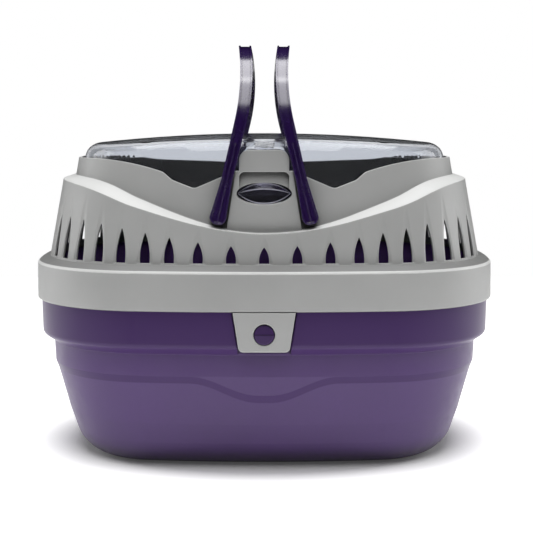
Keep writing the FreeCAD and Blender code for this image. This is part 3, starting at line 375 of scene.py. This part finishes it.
def moulded(name, plastic, mark=None, mark_share=1.0, hollow_shade_share=HOLLOW_SHADE_SHARE):
    """Moulded plastic: flow mottle, satin grain, edges lightened by wear and painted highlight,
    painted shade in hollows and corners, and marks of painted highlight and shade.
    """
    colour, roughness, grain, specular = plastic
    made, tree, shader = material(name)
    place = node(tree, "ShaderNodeTexCoord")
    soft = node(tree, "ShaderNodeBevel", samples=EDGE_SAMPLES)
    soft.inputs["Radius"].default_value = EDGE_RADIUS
    body = mottled(tree, place, colour, MOTTLE_DETAIL)
    # Edges lightened: wear, and painted edge highlight.
    worn_and_lit = blend(tree, wear_and_edge_highlight(tree, soft), body, opaque(colour, 1 + WEAR_AND_HIGHLIGHT_SHARE))
    # Narrow corners darkened: painted shade.
    corner = openness(tree, CORNER_REACH, CORNER_OPEN)
    corner_shaded = blend(tree, corner, opaque(colour, CORNER_SHADE_SHARE), worn_and_lit)
    # Deep hollows darkened: painted shade.
    hollow_shade = openness(tree, HOLLOW_REACH, HOLLOW_OPEN)
    shade = blend(tree, hollow_shade, opaque(colour, hollow_shade_share), corner_shaded)
    satin = noise(tree, place, SATIN_SCALE, SATIN_DETAIL)
    gloss = spread(tree, satin, roughness - SATIN_SPREAD, roughness + SATIN_SPREAD)
    # Each mark paints light: highlight on the cover, shade on the tub and the buttons.
    if mark:
        share = mark(tree, place)
        shade = blend(tree, share, shade, opaque(colour, mark_share))
    # Painted shade on the cover's shoulder.
    if mark is painted_highlights:
        shade = blend(tree, shoulder(tree, place), shade, opaque(colour, SHOULDER_SHADE_SHARE))
    # The same share also makes the tub smoother and shinier: the real polished finish.
    if mark is polish_and_shade:
        gloss = smoother(tree, share, gloss)
        shine = remap(tree, share, 0, RISING, (specular, POLISH_SPECULAR))
        link(tree, shine, "Result", shader, "Specular IOR Level")
    link(tree, shade, "Result", shader, "Base Color")
    link(tree, gloss, "Result", shader, "Roughness")
    skin = bumped(tree, noise(tree, place, GRAIN_SCALE, GRAIN_DETAIL), grain, GRAIN_DEPTH)
    link(tree, soft, "Normal", skin, "Normal")
    link(tree, skin, "Normal", shader, "Normal")
    shader.inputs["Specular IOR Level"].default_value = specular
    return made


def smoked(name, colour, roughness):
    """Clear smoked plastic with faint flow waves."""
    made, tree, shader = material(name)
    place = node(tree, "ShaderNodeTexCoord")
    satin = noise(tree, place, SATIN_SCALE, PLAIN_DETAIL)
    gloss = spread(tree, satin, *(roughness * share for share in CLEAR_SPREAD))
    link(tree, gloss, "Result", shader, "Roughness")
    waves = noise(tree, place, FLOW_SCALE, FLOW_DETAIL)
    skin = bumped(tree, waves, FLOW_STRENGTH, FLOW_DEPTH)
    link(tree, skin, "Normal", shader, "Normal")
    shader.inputs["Base Color"].default_value = opaque(colour)
    shader.inputs["Transmission Weight"].default_value = 1.0
    shader.inputs["IOR"].default_value = CLEAR_IOR
    return made


def plain(name, colour, gloss, metallic):
    """Mottled tone and uneven gloss: drawn steel, or a pale colour painted as the highlight on
    the edge of clear plastic.
    """
    made, tree, shader = material(name)
    place = node(tree, "ShaderNodeTexCoord")
    satin = noise(tree, place, SATIN_SCALE, PLAIN_DETAIL)
    link(tree, spread(tree, satin, *gloss), "Result", shader, "Roughness")
    shade = mottled(tree, place, colour, PLAIN_DETAIL)
    link(tree, shade, "Result", shader, "Base Color")
    shader.inputs["Metallic"].default_value = metallic
    return made


def coat(finish):
    """Clear gloss over a moulded finish."""
    shader = finish.node_tree.nodes["Principled BSDF"]
    shader.inputs["Coat Weight"].default_value = 1.0
    shader.inputs["Coat Roughness"].default_value = COAT_ROUGHNESS
    shader.inputs["Coat IOR"].default_value = COAT_IOR


def dress(finish, *names):
    """Give CAD nodes one finish in all their slots."""
    for name in names:
        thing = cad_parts[name]
        thing.data.materials.clear()
        thing.data.materials.append(finish)


def piece(name, corners, faces, finish, body):
    """Mesh piece with a finish and outward faces that rides on a body."""
    mesh = bpy.data.meshes.new(name)
    mesh.from_pydata(corners, [], faces)
    shape = bmesh.new()
    shape.from_mesh(mesh)
    bmesh.ops.recalc_face_normals(shape, faces=shape.faces)
    shape.to_mesh(mesh)
    shape.free()
    mesh.materials.append(finish)
    thing = bpy.data.objects.new(name, mesh)
    bpy.context.scene.collection.objects.link(thing)
    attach(thing, body)
    return thing


def arc(half, rise, steps):
    """Places across and up along a circular arc over a chord, from tip to tip."""
    radius = (half ** 2 + rise ** 2) / (2 * rise)
    reach = math.acos((radius - rise) / radius)
    turns = [reach * (2 * step / steps - 1) for step in range(steps + 1)]
    return [
        (abs(radius) * math.sin(turn), rise - radius + radius * math.cos(turn))
        for turn in turns
    ]


def bulge(rise, depth):
    """Arc between the tips of the boss, in front view."""
    places = arc(BOSS_HALF, rise, BEAD_STEPS)
    return [Vector((across, -depth, BOSS_LEVEL + up)) for across, up in places]


def bead(name, points, finish):
    """Thin tapered bead along a line of points, riding with the lid."""
    sides = BEAD_SIDES
    corners, faces = [], []
    last = len(points) - 1
    for index, point in enumerate(points):
        along = (points[min(index + 1, last)] - points[max(index - 1, 0)]).normalized()
        across = along.cross(BACKWARD).normalized()
        swell = math.sin(math.pi * index / last)
        radius = BEAD_RADIUS * (BEAD_TIP + (1 - BEAD_TIP) * swell)
        for side in range(sides):
            turn = 2 * math.pi * side / sides
            outward = math.cos(turn) * across + math.sin(turn) * BACKWARD
            corners.append(point + radius * outward)
    for index in range(last):
        for side in range(sides):
            first = index * sides + side
            second = index * sides + (side + 1) % sides
            faces.append((first, second, second + sides, first + sides))
    faces.append(tuple(range(sides)))
    faces.append(tuple(reversed(range(last * sides, (last + 1) * sides))))
    thing = piece(name, corners, faces, finish, "lid")
    thing.data.polygons.foreach_set("use_smooth", [True] * len(faces))


def leaf_spring(side, facing, finish):
    """Bowed leaf behind a button, standing in for the CAD spring and riding with the base."""
    rise = SPRING_CREST - SPRING_FOOT
    outer = arc(SPRING_HALF, rise, SPRING_STEPS)
    inner = arc(SPRING_HALF - SPRING_SHEET, rise - SPRING_SHEET, SPRING_STEPS)
    low, high = BUTTON_LEVEL - SPRING_HALF_WIDTH, BUTTON_LEVEL + SPRING_HALF_WIDTH
    corners, faces = [], []
    for row in zip(outer, inner):
        for level, order in ((low, row), (high, reversed(row))):
            corners += [(across, facing * (SPRING_FOOT + up), level) for across, up in order]
    count = SPRING_CORNERS
    last = count * SPRING_STEPS
    for first in range(0, last, count):
        for corner in range(count):
            near, far = first + corner, first + (corner + 1) % count
            faces.append((near, far, far + count, near + count))
    faces += [tuple(reversed(range(count))), tuple(range(last, last + count))]
    thing = piece(f"{side}_leaf_spring", corners, faces, finish, "base")
    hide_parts(f"{side}_button_spring")
    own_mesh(thing)


def floor():
    """Pale light table under the carrier."""
    mesh = bpy.data.meshes.new("floor")
    half = FLOOR_HALF
    front = -FLOOR_FRONT
    corners = [(-half, front, 0), (half, front, 0), (half, half, 0), (-half, half, 0)]
    mesh.from_pydata(corners, [], [(0, 1, 2, 3)])
    thing = bpy.data.objects.new("floor", mesh)
    bpy.context.scene.collection.objects.link(thing)
    made, tree, shader = material("floor")
    shader.inputs["Base Color"].default_value = opaque(FLOOR_COLOUR)
    shader.inputs["Roughness"].default_value = FLOOR_ROUGHNESS
    shader.inputs["Emission Color"].default_value = opaque(WHITE)
    place = node(tree, "ShaderNodeTexCoord")
    share = node(tree, "ShaderNodeVectorMath", operation="DIVIDE")
    link(tree, place, "Object", share, 0)
    share.inputs[1].default_value = FOOTPRINT
    ring = node(tree, "ShaderNodeVectorMath", operation="LENGTH")
    link(tree, share, "Vector", ring, 0)
    glow = remap(tree, ring, "Value", GLOW_RINGS, FLOOR_GLOW)
    link(tree, glow, "Result", shader, "Emission Strength")
    thing.data.materials.append(made)


def softbox(name, place, target, width, height, power):
    """Rectangular soft light that looks at a target."""
    data = bpy.data.lights.new(name, "AREA")
    data.shape = "RECTANGLE"
    data.size = width
    data.size_y = height
    data.energy = power
    light = bpy.data.objects.new(name, data)
    light.location = place
    aim = Vector(target) - Vector(place)
    light.rotation_euler = aim.to_track_quat("-Z", "Y").to_euler()
    bpy.context.scene.collection.objects.link(light)


def studio():
    """White surround that only the camera and the clear lid see, and soft boxes."""
    world = bpy.data.worlds.new("studio")
    bpy.context.scene.world = world
    world.use_nodes = True
    ground = world.node_tree.nodes["Background"]
    ground.inputs["Color"].default_value = opaque(WHITE)
    world.cycles_visibility.diffuse = False
    world.cycles_visibility.glossy = False
    for name, setting in LIGHTS.items():
        softbox(name, *setting)
    bpy.context.scene.view_settings.view_transform = "Standard"


def camera():
    """Camera at the photograph's place and angle."""
    data = bpy.data.cameras.new("camera")
    data.lens = LENS
    data.sensor_width = SENSOR
    thing = bpy.data.objects.new("camera", data)
    thing.location = CAMERA_PLACE
    thing.rotation_euler = (math.radians(90 - CAMERA_DIP), 0, 0)
    bpy.context.scene.collection.objects.link(thing)
    bpy.context.scene.camera = thing


grey = moulded("grey_plastic", GREY_PLASTIC)
# Cover: painted highlights on the upward faces of seat and rim and along the band's upper edge,
# painted shade on the shoulder.
cover = moulded("cover_plastic", GREY_PLASTIC, painted_highlights, PAINTED_HIGHLIGHT_SHARE)
purple = moulded("purple_plastic", PURPLE_PLASTIC)
# Tub: painted shade on the skirt, the wave band and deep hollows; smoother and shinier where
# polished.
tub = moulded("tub_plastic", PURPLE_PLASTIC, polish_and_shade, POLISH_SHADE_SHARE, TUB_HOLLOW_SHADE_SHARE)
# Buttons: painted shade along the crease.
button = moulded("button_plastic", BUTTON_PLASTIC, crease, CREASE_SHADE_SHARE)
violet = moulded("violet_plastic", VIOLET_PLASTIC)
coat(violet)
edge = plain("painted_edge_highlight", *BOSS_HIGHLIGHT)
steel = plain("spring_steel", *SPRING_STEEL)
dress(cover, "cover_shell")
dress(grey, "front_latch_tab", "rear_latch_tab", "handle_left_pins", "handle_right_pins")
dress(tub, "base_tub")
dress(button, "front_button", "rear_button")
dress(purple, "front_button_housing", "rear_button_housing")
dress(violet, "handle_left", "handle_right")
dress(smoked("smoked_plastic", *LID_PLASTIC), "lid_shell")
dress(smoked("deep_smoked_plastic", *TONGUE_PLASTIC), "lid_latch_tongue")
dress(steel, "front_button_spring", "rear_button_spring", "lid_hinge_pin")

# Pale beads: painted highlights along the edges of the clear boss.
bead("boss_brow_edge", bulge(BOSS_BROW, BOSS_FACE), edge)
bead("boss_upper_edge", bulge(BOSS_BULGE, BOSS_SHOULDER), edge)
bead("boss_lower_edge", bulge(-BOSS_BULGE, BOSS_FACE), edge)
leaf_spring("front", -1, steel)
leaf_spring("rear", 1, steel)

floor()
studio()
camera()
